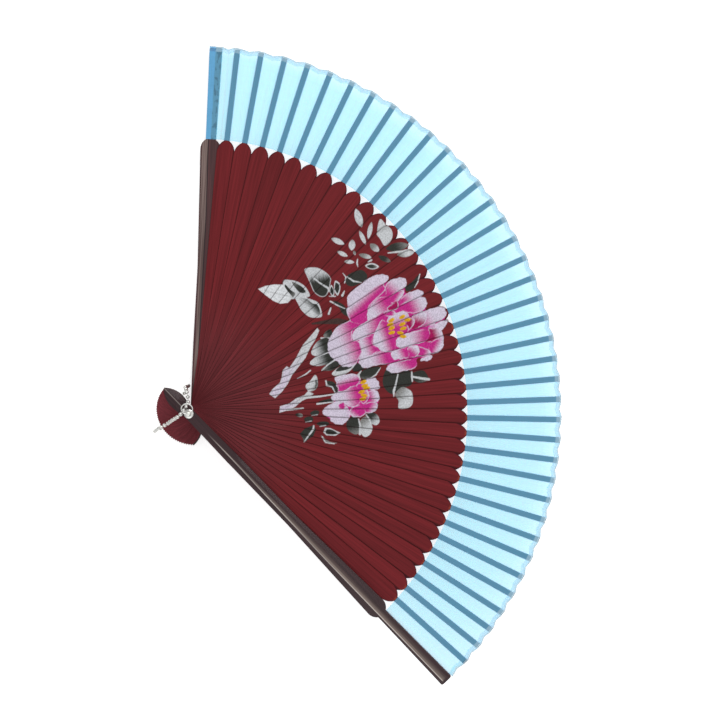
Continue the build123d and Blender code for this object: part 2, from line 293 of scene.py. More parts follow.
def rib_wood(index):
    """Dyed red wood, grained along the rib and browner at the rivet, with painted shade at its edges and by
    the next rib, and a painted highlight on its edge near the rivet.
    """
    nodes = Nodes(f"rib_wood_{index:02d}")
    along, left = nodes.along_stick(stick_direction(index))
    fine = nodes.noise(along, left, 0.05, 4.5, index * 7.3)
    broad = nodes.noise(along, left, 0.012, 0.8, index * 3.1 + 50, 1.0)
    color = nodes.blend(nodes.smooth(along, 20, 75), RIB_BROWN, RIB_RED)
    color = nodes.blend(nodes.smooth(along, -4, 6), RIB_TAIL, color)
    level = RIB_TONES[index % len(RIB_TONES)] * (1 + 0.05 * sin(index * 2.4))
    grain_and_shade = nodes.smooth(fine, 0.3, 0.7, 0.8 * level, 1.14 * level)
    grain_and_shade = nodes.times(grain_and_shade, nodes.smooth(broad, 0.3, 0.7, 0.88, 1.1))
    # Painted shade: darker beside the next rib's edge, and a little darker along this rib's own edge.
    next_along, next_left = nodes.along_stick(stick_direction(index + 1))
    from_next = nodes.math("SUBTRACT", next_left, blade_half(nodes, next_along))
    from_edge = nodes.math("SUBTRACT", blade_half(nodes, along), left)
    wide = nodes.math("MAXIMUM", nodes.times(along, SHADE_SPREAD), 0.08)
    shaded = nodes.smooth(nodes.math("DIVIDE", from_next, wide), 0.0, 1.0, 1.0, 0.0)
    shaded = nodes.times(shaded, nodes.smooth(along, 3, 12))
    grain_and_shade = nodes.times(grain_and_shade, nodes.smooth(shaded, 0, 1, 1.0, 0.42))
    grain_and_shade = nodes.times(grain_and_shade, nodes.smooth(nodes.math("DIVIDE", from_edge, wide), 0.0, 0.35, 0.75, 1.0))
    # A painted highlight, in streaks, along the rib's left edge near the rivet.
    painted_edge_highlight = nodes.times(nodes.smooth(from_edge, 0.12, 0.3, 1.0, 0.0), nodes.smooth(along, 30, 70, 1, 0))
    streak = nodes.smooth(nodes.noise(along, left, 0.03, 2.0, index * 5.7), 0.45, 0.62)
    painted_edge_highlight = nodes.times(painted_edge_highlight, streak, nodes.smooth(along, 8, 20))
    color = nodes.blend(1.0, color, grain_and_shade, "MULTIPLY")
    color = nodes.blend(nodes.times(painted_edge_highlight, 0.5), color, tone(150, 78, 78))
    ragged = nodes.math("ADD", along, nodes.times(fine, 1.5))
    tip = nodes.smooth(ragged, SHOULDER_END - 0.3, SHOULDER_END + 0.6)
    bare = 0.45 if index % 3 and index > 18 else 0.08
    past_tip = nodes.smooth(along, SHOULDER_END + 1.2, SHOULDER_END + 1.6, 1, 0)
    middle = nodes.smooth(nodes.math("ABSOLUTE", left), SLIP_HALF - 0.5, SLIP_HALF, 1, 0)
    tip = nodes.times(tip, past_tip, nodes.times(middle, bare))
    color = nodes.blend(tip, color, tone(170, 80, 45))
    # The round end of the blade has a dark edge of painted shade.
    past_start = nodes.math("MAXIMUM", nodes.math("SUBTRACT", along, SHOULDER_START), 0.0)
    aside = nodes.math("ADD", nodes.math("ABSOLUTE", left), SHOULDER_R - BLADE_HALF)
    squares = nodes.math("ADD", nodes.times(past_start, past_start), nodes.times(aside, aside))
    rim = nodes.smooth(nodes.math("SQRT", squares), SHOULDER_R - 0.6, SHOULDER_R - 0.2, 0, 0.75)
    rim = nodes.times(rim, nodes.smooth(past_start, 0.2, 2.0))
    rim = nodes.times(rim, nodes.smooth(along, SHOULDER_END + 0.3, SHOULDER_END + 0.6, 1, 0))
    color = nodes.blend(rim, color, tone(58, 16, 34))
    nodes.bump(fine, 0.05, 0.5)
    return nodes.finish(color, nodes.smooth(fine, 0.3, 0.7, 0.62, 0.5), Specular_IOR_Level=0.14)


SHEEN_BAND_HALF = 1.4
SHEEN_BAND_NARROW = 0.2         # the painted sheen band's half width near the rivet
RIDGE_HIGHLIGHT_WIDE = 0.3


def guard_wood(index, outside):
    """Lacquered near-black wood. Its outer face, whose way along Z is outside, has a grey band of painted
    sheen with a painted highlight; its inner face has painted light and shade on a bevel.
    """
    nodes = Nodes(f"guard_wood_{index:02d}")
    along, left = nodes.along_stick(stick_direction(index))
    fine = nodes.noise(along, left, 0.04, 4.0, index * 4.1 + 2)
    broad = nodes.noise(along, left, 0.02, 1.2, index * 2.9 + 9, 1.0)
    normal = nodes.node("SeparateXYZ", {0: nodes.node("NewGeometry", {}).outputs["Normal"]})
    outer = nodes.smooth(nodes.times(normal.outputs[2], outside), 0.1, 0.5)
    aside = nodes.math("ABSOLUTE", left)
    outward = nodes.times(nodes.smooth(along, 12, 30), nodes.smooth(along, 185.8, 187.2, 1, 0))
    outward = nodes.times(outward, outer)
    # Painted sheen: a grey band along the outer face, lighter towards its right edge and narrow near the
    # rivet.
    half = nodes.smooth(along, 15, 115, SHEEN_BAND_NARROW, SHEEN_BAND_HALF)
    in_band = nodes.math("SUBTRACT", half, aside)
    band = nodes.times(nodes.smooth(in_band, -0.15, 0.15), outward)
    color = nodes.blend(outer, tone(74, 44, 46), tone(52, 30, 34))
    across = nodes.smooth(left, -SHEEN_BAND_HALF, 0.8 * SHEEN_BAND_HALF)
    color = nodes.blend(band, color, nodes.blend(across, tone(132, 116, 108), tone(66, 48, 48)))
    color = nodes.blend(1.0, color, nodes.smooth(fine, 0.3, 0.7, 0.7, 1.25), "MULTIPLY")
    color = nodes.blend(1.0, color, nodes.smooth(broad, 0.3, 0.7, 0.82, 1.15), "MULTIPLY")
    # A painted highlight along the sheen band's right edge, and down the middle of the tail.
    from_ridge = nodes.math("ABSOLUTE", nodes.math("ADD", left, half))
    ridge_highlight = nodes.times(nodes.smooth(from_ridge, 0.5 * RIDGE_HIGHLIGHT_WIDE, RIDGE_HIGHLIGHT_WIDE, 1, 0), outward)
    ridge_highlight = nodes.times(ridge_highlight, nodes.smooth(broad, 0.3, 0.6, 0.45, 1.0))
    tail_middle = nodes.times(nodes.smooth(aside, 0.12, 0.3, 1, 0), nodes.smooth(along, -3, 0, 1, 0))
    ridge_highlight = nodes.math("MAXIMUM", ridge_highlight, nodes.times(tail_middle, outer, 0.4))
    color = nodes.blend(nodes.times(ridge_highlight, 0.85), color, tone(200, 190, 182))
    # On the inner face: painted light on the bevel beside its left edge, and a dark line of painted shade
    # where the bevel ends.
    inner = nodes.times(nodes.math("SUBTRACT", 1.0, outer), nodes.smooth(along, 140.2, 141.4, 1, 0))
    from_line = nodes.math("SUBTRACT", left, nodes.smooth(along, 95, 142, 0.15, 1.1))
    bevel_light = nodes.times(nodes.smooth(from_line, 0.0, 0.2), nodes.smooth(along, 8, 30))
    to_edge = nodes.math("SUBTRACT", blade_half(nodes, along), left)
    bevel_light = nodes.times(bevel_light, nodes.smooth(to_edge, 0.0, 0.5))
    bevel_light_color = nodes.blend(nodes.smooth(broad, 0.35, 0.65), tone(84, 64, 61), tone(126, 107, 102))
    color = nodes.blend(nodes.times(bevel_light, inner), color, bevel_light_color)
    line = nodes.smooth(nodes.math("ABSOLUTE", from_line), 0.14, 0.38, 0.95, 0)
    color = nodes.blend(nodes.times(line, inner), color, tone(34, 20, 24))
    nodes.bump(fine, 0.06, 0.6)
    rough = nodes.smooth(fine, 0.3, 0.7, 0.42, 0.3)
    return nodes.finish(color, rough, Specular_IOR_Level=0.3, Coat_Weight=0.15, Coat_Roughness=0.25)


# ---------------------------------------------------------------- metal and silk


def steel(name, rough, shade):
    """Bright plated steel with faint rub marks."""
    nodes = Nodes(name)
    place = nodes.object_place()
    marks = nodes.node("TexNoise", {"Vector": place, "Scale": 500.0, "Detail": 2.0}).outputs[0]
    color = nodes.blend(nodes.smooth(marks, 0.35, 0.65), tone(*shade), tone(238, 238, 234))
    nodes.shader.inputs["Metallic"].default_value = 1
    return nodes.finish(color, nodes.smooth(marks, 0.35, 0.65, rough, rough + 0.12), Specular_IOR_Level=0.5)


THREADS_PER_MM = 5.0


def silk(name, color, alpha, spots=0.0):
    """Sheer plain-woven silk: warp and weft, thicker threads here and there, and darker spots of glue."""
    nodes = Nodes(name)
    cloth = nodes.node("UVMap", {}, uv_map="cloth").outputs[0]
    split = nodes.node("SeparateXYZ", {0: cloth})
    across = nodes.math("SINE", nodes.times(split.outputs[0], 2 * pi * THREADS_PER_MM))
    outward = nodes.math("SINE", nodes.times(split.outputs[1], 2 * pi * THREADS_PER_MM))
    weave = nodes.times(across, outward)
    slub = nodes.noise(split.outputs[0], split.outputs[1], 2.2, 0.06, 3.0)
    cross_slub = nodes.noise(split.outputs[0], split.outputs[1], 0.06, 2.2, 8.0)
    threads = nodes.math("ADD", slub, cross_slub)
    level = nodes.smooth(threads, 0.75, 1.25, 0.95, 1.04)
    level = nodes.math("ADD", level, nodes.times(weave, 0.02))
    glue = nodes.noise(split.outputs[0], split.outputs[1], 0.7, 0.3, 5.0, 1.0)
    level = nodes.times(level, nodes.smooth(glue, 0.52, 0.64, 1.0, 1.0 - spots))
    shade = nodes.blend(1.0, color, level, "MULTIPLY")
    nodes.bump(weave, 0.02, 0.12)
    nodes.shader.inputs["Alpha"].default_value = alpha
    return nodes.finish(shade, 0.55, Specular_IOR_Level=0.2, Sheen_Weight=0.15, Sheen_Roughness=0.4)


# ---------------------------------------------------------------- bead chain

CONNECTOR_MIDDLE = Vector((-4.5, -11.0, 1.25))
CONNECTOR_WAY = Vector((0.555, -0.832, 0))
CONNECTOR_REACH = 3.58
CHAIN_ROUTE = [
    (2.8, -19.5, 1.2),
    (2.3, -23.9, 5.9),
    (2.9, -22.3, 13.1),
    (1.6, -18.3, 20.7),
    (1.2, -12.9, 22.6),
    (0.1, -9.2, 27.2),
    (-0.7, -3.5, 32.9),
    (-3.4, -0.1, 30.6),
    (-5.3, 2.1, 28.7),
    (-10.8, 3.2, 28.6),
    (-13.6, 2.3, 23.8),
    (-13.2, 1.3, 14.8),
    (-13.4, 1.5, 7.4),
    (-13.4, 0.6, 1.6),
    (-10.3, -3.3, 1.2),
]
BEAD_R = 1.0
BEAD_PITCH = 2.6
LINK_R = 0.22
# Half of a bead's outline from its middle to its end, as shares of its radius, with the link's hole.
BEAD_PROFILE = [
    (0.0, 1.0), (0.2, 0.98), (0.38, 0.925), (0.55, 0.835), (0.7, 0.714), (0.83, 0.558), (0.92, 0.4),
    (0.95, 0.33), (0.9, 0.3),
]
BEAD_SIDES = 22


def cord_line(name, points):
    """The points along a smooth cord through the space of its route, in metres."""
    curve = bpy.data.curves.new(name, "CURVE")
    curve.dimensions = "3D"
    curve.resolution_u = 24
    spline = curve.splines.new("NURBS")
    spline.points.add(len(points) - 1)
    for point, place in zip(spline.points, points):
        point.co = (*place, 1)
    spline.use_endpoint_u = True
    spline.order_u = 3
    holder = bpy.data.objects.new(name, curve)
    mesh = bpy.data.meshes.new_from_object(holder)
    line = [vertex.co.copy() for vertex in mesh.vertices]
    bpy.data.meshes.remove(mesh)
    bpy.data.curves.remove(curve)
    return line


def line_length(line):
    return sum((b - a).length for a, b in zip(line, line[1:]))


def along_line(line, distance):
    """The point and direction at a distance along a line."""
    for a, b in zip(line, line[1:]):
        step = (b - a).length
        if distance <= step and step > 0:
            return a.lerp(b, distance / step), (b - a).normalized()
        distance -= step
    return line[-1].copy(), (line[-1] - line[-2]).normalized()


def add_turned(shape, profile, matrix, sides):
    """Adds a turned form whose profile is a list of (height, radius)."""
    rings = []
    for height, radius in profile:
        angles = [2 * pi * side / sides for side in range(sides)]
        ring = [Vector((radius * cos(a), radius * sin(a), height)) for a in angles]
        rings.append([shape.verts.new(matrix @ point) for point in ring])
    for low, high in zip(rings, rings[1:]):
        for side in range(sides):
            after = (side + 1) % sides
            shape.faces.new((low[side], low[after], high[after], high[side]))
    shape.faces.new(rings[0][::-1])
    shape.faces.new(rings[-1])


def make_chain(material):
    """Hollow beads at an even pitch on short links, all along the chain's line."""
    start = CONNECTOR_MIDDLE + CONNECTOR_WAY * CONNECTOR_REACH
    end = CONNECTOR_MIDDLE - CONNECTOR_WAY * CONNECTOR_REACH
    line = cord_line("chain_line", [start * MM, *[Vector(point) * MM for point in CHAIN_ROUTE], end * MM])
    length = line_length(line)
    count = round(length / (BEAD_PITCH * MM))
    pitch = length / count
    bead_r = BEAD_R * MM
    upper = [(height * bead_r, radius * bead_r) for height, radius in BEAD_PROFILE]
    bead = [(-height, radius) for height, radius in upper[:0:-1]] + upper
    link_half = pitch / 2 - 0.7 * bead_r
    link = [(-link_half, LINK_R * MM), (0, 0.8 * LINK_R * MM), (link_half, LINK_R * MM)]
    shape = bmesh.new()
    for index in range(count):
        place, way = along_line(line, (index + 0.5) * pitch)
        turn = way.to_track_quat("Z", "Y").to_matrix().to_4x4()
        add_turned(shape, bead, Matrix.Translation(place) @ turn, BEAD_SIDES)
    for index in range(count - 1):
        place, way = along_line(line, (index + 1) * pitch)
        turn = way.to_track_quat("Z", "Y").to_matrix().to_4x4()
        add_turned(shape, link, Matrix.Translation(place) @ turn, 10)
    mesh = bpy.data.meshes.new("bead_chain")
    shape.to_mesh(mesh)
    shape.free()
    for face in mesh.polygons:
        face.use_smooth = len(face.vertices) == 4
    mesh.materials.append(material)
    chain = new_object("bead_chain", mesh)
    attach(chain, "guard_front")
    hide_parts("ball_chain")


# ---------------------------------------------------------------- leaf

LEAF_INNER = 141.0
LEAF_OUTER = 188.6
RIM_DROP = 0.9            # the rim is this much nearer the rivet at a valley than on a slip
RIM_CORNER = 0.2          # and this much further out at a slip's left corner
INNER_BOW = 0.1
HEM = 2.6                 # the rim is folded back on itself by this much
HEM_LIFT = 0.05
HEM_ROWS = 3
SILK_LIFT = 0.03          # the silk's middle over what it is glued to
UNDER_LIFT = 0.15         # a free panel's height over the slip before, where the next slip folds over it
FOLD_DROP = 0.5           # how far a valley fold hangs below the slips
OVER_GUARD = 0.06         # the first free fold closes onto guard_back with this much room
GLUE_EDGE = 0.05          # the silk goes past a slip's edge by this much before it turns down
CREASE = 0.32             # the width of the crease where a panel climbs a slip
RIM_ROWS = 24
GLUED_STEPS = 6
NEAR_STEPS = 4
FAR_STEPS = 9


def slip_top(index):
    if index == 0:
        return stick_bottom(0) + GUARD_THICK + SILK_LIFT
    return stick_bottom(index) + SLIP_THICK + SILK_LIFT


def glued_edges(index, share):
    """How far left and right of a stick's middle its glued silk reaches."""
    half = SLIP_HALF + GLUE_EDGE
    if index in (0, len(STICKS) - 1):
        half = mix(GUARD_SLIP_HALF, GUARD_TIP_HALF, share)
    return half, -half


def gore_section(index, share):
    """One gore's cross-section at a share of the way from its inner edge to the rim, from left to right.

    A gore is glued down on its own stick, hangs to a valley fold, and rises under the edge of the next slip.
    """
    radius = mix(LEAF_INNER, LEAF_OUTER, share)
    left, right = glued_edges(index, share)
    top = slip_top(index)
    last = index == len(STICKS) - 2
    next_top = stick_bottom(index + 1) - SILK_LIFT if last else slip_top(index + 1)
    next_left = glued_edges(index + 1, share)[0]
    glued = []
    for step in range(GLUED_STEPS):
        t = step / (GLUED_STEPS - 1)
        glued.append(beside(index, radius + share * RIM_CORNER * (1 - t), mix(left, right, t), top))
    crease = beside(index, radius, right - CREASE, top - 0.06)
    edge = beside(index + 1, radius + share * RIM_CORNER, next_left, next_top)
    foot = beside(index + 1, radius + share * RIM_CORNER, next_left + CREASE, top + UNDER_LIFT)
    valley_point = (crease + foot) / 2
    out = Vector((valley_point.x, valley_point.y, 0)).normalized()
    valley = valley_point + out * (mix(INNER_BOW, -RIM_DROP, share) * MM)
    lowest = slip_top(0) + HEM_LIFT + OVER_GUARD if index == 1 else 0
    valley.z = max(top - FOLD_DROP, lowest) * MM
    near = [mix(crease, valley, step / NEAR_STEPS) for step in range(1, NEAR_STEPS + 1)]
    far = []
    for step in range(1, FAR_STEPS + 1):
        t = step / FAR_STEPS
        point = mix(valley, foot, t)
        rise = min(1, 2 * t)
        point.z = mix(valley.z, foot.z, rise * (2 - rise))
        far.append(point)
    return [*glued, crease, *near, *far, edge]


CREASE_COLUMNS = (GLUED_STEPS - 1, GLUED_STEPS + NEAR_STEPS + FAR_STEPS)


def hem_share(row):
    """How far out the folded-back rows of the hem are, from the rim inward."""
    return 1 - HEM / (LEAF_OUTER - LEAF_INNER) * row / HEM_ROWS


def cloth_map(mesh, rows):
    """A map in mm of the flat cloth: across the gore, and out along it."""
    cloth = {}
    number = 0
    for row in rows:
        across = 0.0
        for before, point in zip([row[0], *row], row):
            across += (point - before).length / MM
            cloth[number] = (across, point.xy.length / MM)
            number += 1
    layer = mesh.uv_layers.new(name="cloth")
    for loop in mesh.loops:
        layer.data[loop.index].uv = cloth[loop.vertex_index]


def cloth_mesh(name, rows, materials):
    """A mesh through rows of points, with a map of its flat cloth."""
    across = len(rows[0])
    faces = []
    for row in range(len(rows) - 1):
        for column in range(across - 1):
            a = row * across + column
            faces.append((a, a + across, a + across + 1, a + 1))
    mesh = bpy.data.meshes.new(name)
    mesh.from_pydata([point for row in rows for point in row], [], faces)
    cloth_map(mesh, rows)
    for material in materials:
        mesh.materials.append(material)
    return mesh


def make_gore(index, materials):
    """One pleat of the leaf, with its rim folded back on itself as a hem."""
    rows = [gore_section(index, row / RIM_ROWS) for row in range(RIM_ROWS + 1)]
    lift = Vector((0, 0, HEM_LIFT * MM))
    if index == len(STICKS) - 2:
        lift = -lift
    for row in range(1, HEM_ROWS + 1):
        rows.append([point + lift for point in gore_section(index, hem_share(row))])
    mesh = cloth_mesh(f"leaf_{index + 1:02d}", rows, materials)
    for number, face in enumerate(mesh.polygons):
        row, column = divmod(number, len(rows[0]) - 1)
        face.use_smooth = True
        face.material_index = 2 if column in CREASE_COLUMNS else 1 if column < GLUED_STEPS - 1 else 0
        if row >= RIM_ROWS:
            face.material_index = 4 if column < GLUED_STEPS - 1 else 3
    gore = new_object(mesh.name, mesh)
    dress_gore(gore)


def dress_gore(gore):
    """Fixes a gore's transform into its mesh, and hides the imported leaf."""
    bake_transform(gore)
    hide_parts("leaf")


SIDE_HEM_ROWS = 16
SIDE_HEM_STEPS = 4
SIDE_HEM_WANDER = 0.12    # how far the folded-back edge wanders from the slip's middle


def make_side_hem(material):
    """The leaf's side edge, folded back over the outer half of guard_back's slip."""
    rows = []
    for row in range(SIDE_HEM_ROWS + 1):
        share = row / SIDE_HEM_ROWS
        radius = mix(LEAF_INNER, LEAF_OUTER, share)
        left = glued_edges(0, share)[0]
        wander = SIDE_HEM_WANDER * sin(row * 1.9)
        places = [mix(left, wander, step / SIDE_HEM_STEPS) for step in range(SIDE_HEM_STEPS + 1)]
        rows.append([beside(0, radius, place, slip_top(0) + HEM_LIFT) for place in places])
    mesh = cloth_mesh("leaf_side_hem", rows, [material])
    hem = new_object(mesh.name, mesh)
    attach(hem, "guard_back")
    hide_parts("leaf")


# ---------------------------------------------------------------- the painting

# Every place below is in mm on the open fan, seen from above, with the rivet at (0, 0) and +Y up the middle.
PALE = tone(210, 200, 218)
PINK = tone(208, 112, 180)
MAGENTA = tone(192, 42, 132)
DEEP = tone(160, 12, 84)
DARK = tone(50, 52, 48)
GREY = tone(128, 128, 126)
LIGHT = tone(200, 203, 206)
WHITE = tone(222, 225, 228)
GOLD = tone(214, 160, 20)
PALE_GOLD = tone(232, 196, 70)
EDGE_SOFT = 0.16


PETAL_BLUNT = 0.12        # how much fuller a petal is towards its tip
PETAL_POINTS = 36
ALMOND_POINTS = 32


def placed(shape, x, y, way):
    """A shape's points, turned to a direction and moved to a place."""
    turn = radians(way)
    return [(x + u * cos(turn) - v * sin(turn), y + u * sin(turn) + v * cos(turn)) for u, v in shape]


def egg(x, y, reach, half, way, waves=0.0):
    """The outline of a petal, as long each way from its middle as reach, and fuller towards its tip."""
    shape = []
    for step in range(PETAL_POINTS):
        a = 2 * pi * step / PETAL_POINTS
        swell = 1 + waves * sin(5 * a + x + y)
        shape.append((reach * cos(a) * swell, half * sin(a) * (1 + PETAL_BLUNT * cos(a)) * swell))
    return placed(shape, x, y, way)


def almond(x, y, reach, half, way):
    """The outline of a small leaf, pointed at both ends."""
    angles = [2 * pi * step / ALMOND_POINTS for step in range(ALMOND_POINTS)]
    return placed([(reach * cos(a), half * sin(a) * abs(sin(a)) ** 0.6) for a in angles], x, y, way)


def rounded(corners, ruffle=0.0):
    """A smooth closed outline through a few points, ruffled by up to that many mm."""
    points = []
    count = len(corners)
    for number in range(count):
        a, b, c, d = (np.array(corners[(number + shift - 1) % count], float) for shift in range(4))
        for t in (0.0, 0.2, 0.4, 0.6, 0.8):
            curve = 2 * b + (c - a) * t + (2 * a - 5 * b + 4 * c - d) * t**2 + (3 * b - a - 3 * c + d) * t**3
            points.append(tuple(curve / 2))
    middle = np.mean(points, axis=0)
    waved = []
    for x, y in points:
        out = np.array((x, y)) - middle
        wave = sin(1.9 * x + 1.3 * y) + 0.7 * sin(3.1 * y - 2.3 * x + 1)
        waved.append(tuple(np.array((x, y)) + out / max(np.linalg.norm(out), 1e-6) * ruffle * wave))
    return waved


def segment_distance(places, a, b):
    """How far places are from a segment, and how far along it the nearest point is."""
    run = b - a
    t = np.clip(((places - a) @ run) / max(run @ run, 1e-9), 0, 1)
    return np.linalg.norm(places - a - t[:, None] * run, axis=1), t


def depth_inside(places, outline):
    """How deep places lie inside a closed outline, negative outside."""
    nearest = np.full(len(places), 1e9)
    inside = np.zeros(len(places), bool)
    corners = np.array(outline)
    for a, b in zip(corners, np.roll(corners, -1, axis=0)):
        nearest = np.minimum(nearest, segment_distance(places, a, b)[0])
        crosses = (a[1] > places[:, 1]) != (b[1] > places[:, 1])
        rise = b[1] - a[1] if b[1] != a[1] else 1e-9
        inside ^= crosses & (places[:, 0] < (b[0] - a[0]) * (places[:, 1] - a[1]) / rise + a[0])
    return np.where(inside, nearest, -nearest)


def ease(value, low, high):
    t = np.clip((value - low) / (high - low), 0, 1)
    return t * t * (3 - 2 * t)


def streaks(places, way):
    """Brush marks along a direction, from -1 to 1."""
    turn = radians(way)
    u = places[:, 0] * cos(turn) + places[:, 1] * sin(turn)
    v = places[:, 1] * cos(turn) - places[:, 0] * sin(turn)
    finest = np.sin(8.7 * v + 0.6 * u + 4.0)
    return (np.sin(3.1 * v + 0.4 * u) + np.sin(5.3 * v - 0.25 * u + 1.3) + finest) / 3


class Canvas:
    """The paint at many places at once: each stroke goes over the ones before."""

    def __init__(self, places):
        self.places = places
        self.color = np.zeros((len(places), 3))
        self.cover = np.zeros(len(places))

    def near(self, outline, margin):
        low = np.min(outline, axis=0) - margin
        high = np.max(outline, axis=0) + margin
        return np.nonzero(((self.places >= low) & (self.places <= high)).all(axis=1))[0]

    def lay(self, picked, color, strength):
        before = self.cover[picked] * (1 - strength)
        total = before + strength
        share = np.divide(strength, total, out=np.zeros_like(total), where=total > 0)
        self.color[picked] = self.color[picked] * (1 - share[:, None]) + color * share[:, None]
        self.cover[picked] = total

    def area(self, outline, first, last, fade, middle=0.0, spread=0.6, rim=None):
        """Fills an outline. Its colour goes from first to last in the direction fade, about the middle."""
        picked = self.near(outline, EDGE_SOFT)
        if not len(picked):
            return
        places = self.places[picked]
        depth = depth_inside(places, outline)
        way = np.array((cos(radians(fade)), sin(radians(fade))))
        spans = np.array(outline) @ way
        level = 2 * (places @ way - spans.min()) / (spans.max() - spans.min()) - 1
        level = level + 0.09 * streaks(places, fade)
        t = ease(level, middle - spread, middle + spread)[:, None]
        first = np.array(first)
        last = np.array(last)
        between = (first + last) / 2
        color = np.where(t < 0.5, mix(first, between, 2 * t), mix(between, last, 2 * t - 1))
        if rim is not None:
            band = ease(depth, 0.65, 0.12) * ease(level, -0.95, -0.45)
            color = mix(color, np.array(rim), 0.85 * band[:, None])
        self.lay(picked, color, ease(depth, -EDGE_SOFT, EDGE_SOFT))

    def stroke(self, points, color, strength=1.0):
        """A brush stroke through (x, y, width) points."""
        flat = np.array([point[:2] for point in points], float)
        picked = self.near(flat, max(point[2] for point in points))
        if not len(picked):
            return
        places = self.places[picked]
        best = np.full(len(places), -1e9)
        for (ax, ay, a_wide), (bx, by, b_wide) in zip(points, points[1:]):
            away, t = segment_distance(places, np.array((ax, ay), float), np.array((bx, by), float))
            best = np.maximum(best, mix(a_wide, b_wide, t) / 2 - away)
        best = best + 0.07 * streaks(places, 80)
        strength = strength * ease(best, -EDGE_SOFT, EDGE_SOFT)
        self.lay(picked, np.tile(np.array(color), (len(picked), 1)), strength)


MAIN_BRANCH = [
    (-18.3, 75.3), (-16.7, 75.7), (-12.7, 72), (-10, 68.3), (-6, 64.3), (-3.3, 60), (0, 54.7), (3.3, 51.3),
    (6, 47.3), (8, 42.7), (5, 40.5), (3.3, 42.7), (1.3, 47.7), (-0.7, 49.3), (-4, 51), (-5.3, 53.7),
    (-4, 54.7), (-7.3, 59.3), (-12.7, 65.3), (-15.3, 70),
]
SIDE_BRANCH = [
    (10.3, 60), (12.7, 62), (13.7, 58.7), (14, 55.3), (15.7, 50.7), (16, 46.7), (15.7, 42.3), (12.7, 43.7),
    (13, 48.7), (11.7, 53.3), (11.7, 57.3),
]

# A mark is an outline of (x, y) points, with what Canvas.area takes after it, or a brush stroke through
# (x, y, width) points, with what Canvas.stroke takes after it. Each mark goes over the ones before.
BRANCHES = [
    (MAIN_BRANCH, LIGHT, PALE, -60, 0, 0.6, LIGHT),
    ([(-9, 64.5, 0.4), (-5.5, 60, 0.8), (-1.5, 53.6, 0.5)], GREY, 0.35),
    (SIDE_BRANCH, LIGHT, PALE, -90, 0, 0.6, LIGHT),
    ([(12.2, 59, 0.4), (13.4, 52, 0.7), (14.2, 46, 0.4)], GREY, 0.35),
    ([(16.7, 72.7, 0.7), (15, 64.7, 0.9), (13, 57.3, 1.3)], LIGHT),
    ([(19.4, 71.6, 1.4), (18.6, 68, 2.0), (17.6, 63.4, 0.7)], DARK),
    ([(20.2, 71, 0.6), (18.1, 62, 0.9)], LIGHT),
    ([(17.7, 54.5, 0.7), (15.7, 46.7, 0.9)], LIGHT),
    ([(1, 64.4, 0.7), (2, 61.3, 0.6), (2.5, 56.7, 0.3)], LIGHT),
]
# The leaves to the right of the large flower, and between the two.
RIGHT_LEAVES = [
    (rounded([(20.4, 118), (22.5, 119.6), (26, 119.6), (26.3, 115.5), (24, 112.5), (20.2, 112.5)]), DARK,
     GREY, 0, 0.9),
    ([(26, 119.8, 1.3), (24.3, 116.5, 1.2), (22, 112.6, 0.9)], LIGHT),
    (rounded([(18, 111.5), (21.5, 112.4), (25.6, 110.3), (25.4, 105), (26.6, 99.6), (22, 97), (17.5, 98),
     (13.6, 101.8), (17.3, 105)]), DARK, DARK, 0),
    ([(19.3, 113, 0.6), (21.5, 112.3, 1.0), (24, 111.6, 0.7)], LIGHT),
    ([(18.3, 105.9, 0.6), (22.5, 103.2, 0.8), (25.5, 101, 1.2), (28, 100.1, 0.5)], LIGHT),
    (rounded([(25, 105.5), (28, 109), (31.2, 109.2), (35, 107.5), (36, 104.3), (34.5, 100.4), (30.8, 101.6),
     (27.3, 101)]), GREY, LIGHT, 35, -0.3),
    ([(28, 101.5, 0.3), (30.5, 104, 0.5), (32.5, 108, 0.3)], GREY, 0.7),
    (rounded([(11.6, 98.6), (14, 96), (15, 92), (14.6, 88.6), (12, 87.2), (10, 90.5), (10.2, 95)]), DARK,
     GREY, -20, 0.9),
    ([(12, 98.8, 0.3), (14.6, 95.2, 0.7), (15.4, 91, 0.4)], LIGHT),
    (rounded([(6, 90), (9.4, 91), (10, 87.5), (8.2, 84.8), (6.3, 87)]), DARK, DARK, 0),
    ([(10.2, 88.8, 0.5), (11.4, 86.9, 1.0), (14.6, 86.8, 0.7)], LIGHT),
    (rounded([(5, 88), (7.3, 85.3), (8.8, 81), (8.5, 76.5), (6.2, 74.3), (4.2, 79.5), (4.4, 84)]), LIGHT,
     LIGHT, 0),
    (rounded([(5, 87), (6.8, 84.5), (6.9, 81), (5.8, 76.6), (4.2, 79.5), (4.3, 84)]), DARK, DARK, 0),
    (rounded([(31.5, 86), (33.5, 88.8), (37.3, 89), (38.6, 86.5), (36, 84), (32.5, 83.3)]), DARK, LIGHT, 20,
     0.2),
    (rounded([(33, 84), (38.5, 84.6), (41.8, 82.3), (42.2, 79), (38.5, 78), (33.5, 80)]), GREY, LIGHT, 20,
     -0.2),
    (rounded([(30.5, 77.5), (33.5, 79.4), (38, 78.2), (39.6, 75.5), (36.5, 72.5), (33, 72.4), (31, 74.5)]),
     DARK, GREY, 0, 0.5),
    ([(31.8, 83.6, 0.5), (35, 84.5, 0.8), (37.5, 84.2, 0.4)], LIGHT),
    ([(32.4, 79.3, 0.5), (36, 78.9, 0.9), (40, 77.3, 1.2)], LIGHT),
]
LEFT_LEAF = [
    (-48.7, 79.2), (-48.9, 81.7), (-47.4, 85.6), (-45.1, 88), (-42.3, 89.8), (-39.5, 90.5), (-37.8, 89.6),
    (-35.6, 88.3), (-32.3, 85.3), (-32.8, 82.2), (-36.2, 79.9), (-40.6, 79.6), (-45.1, 79.3),
]
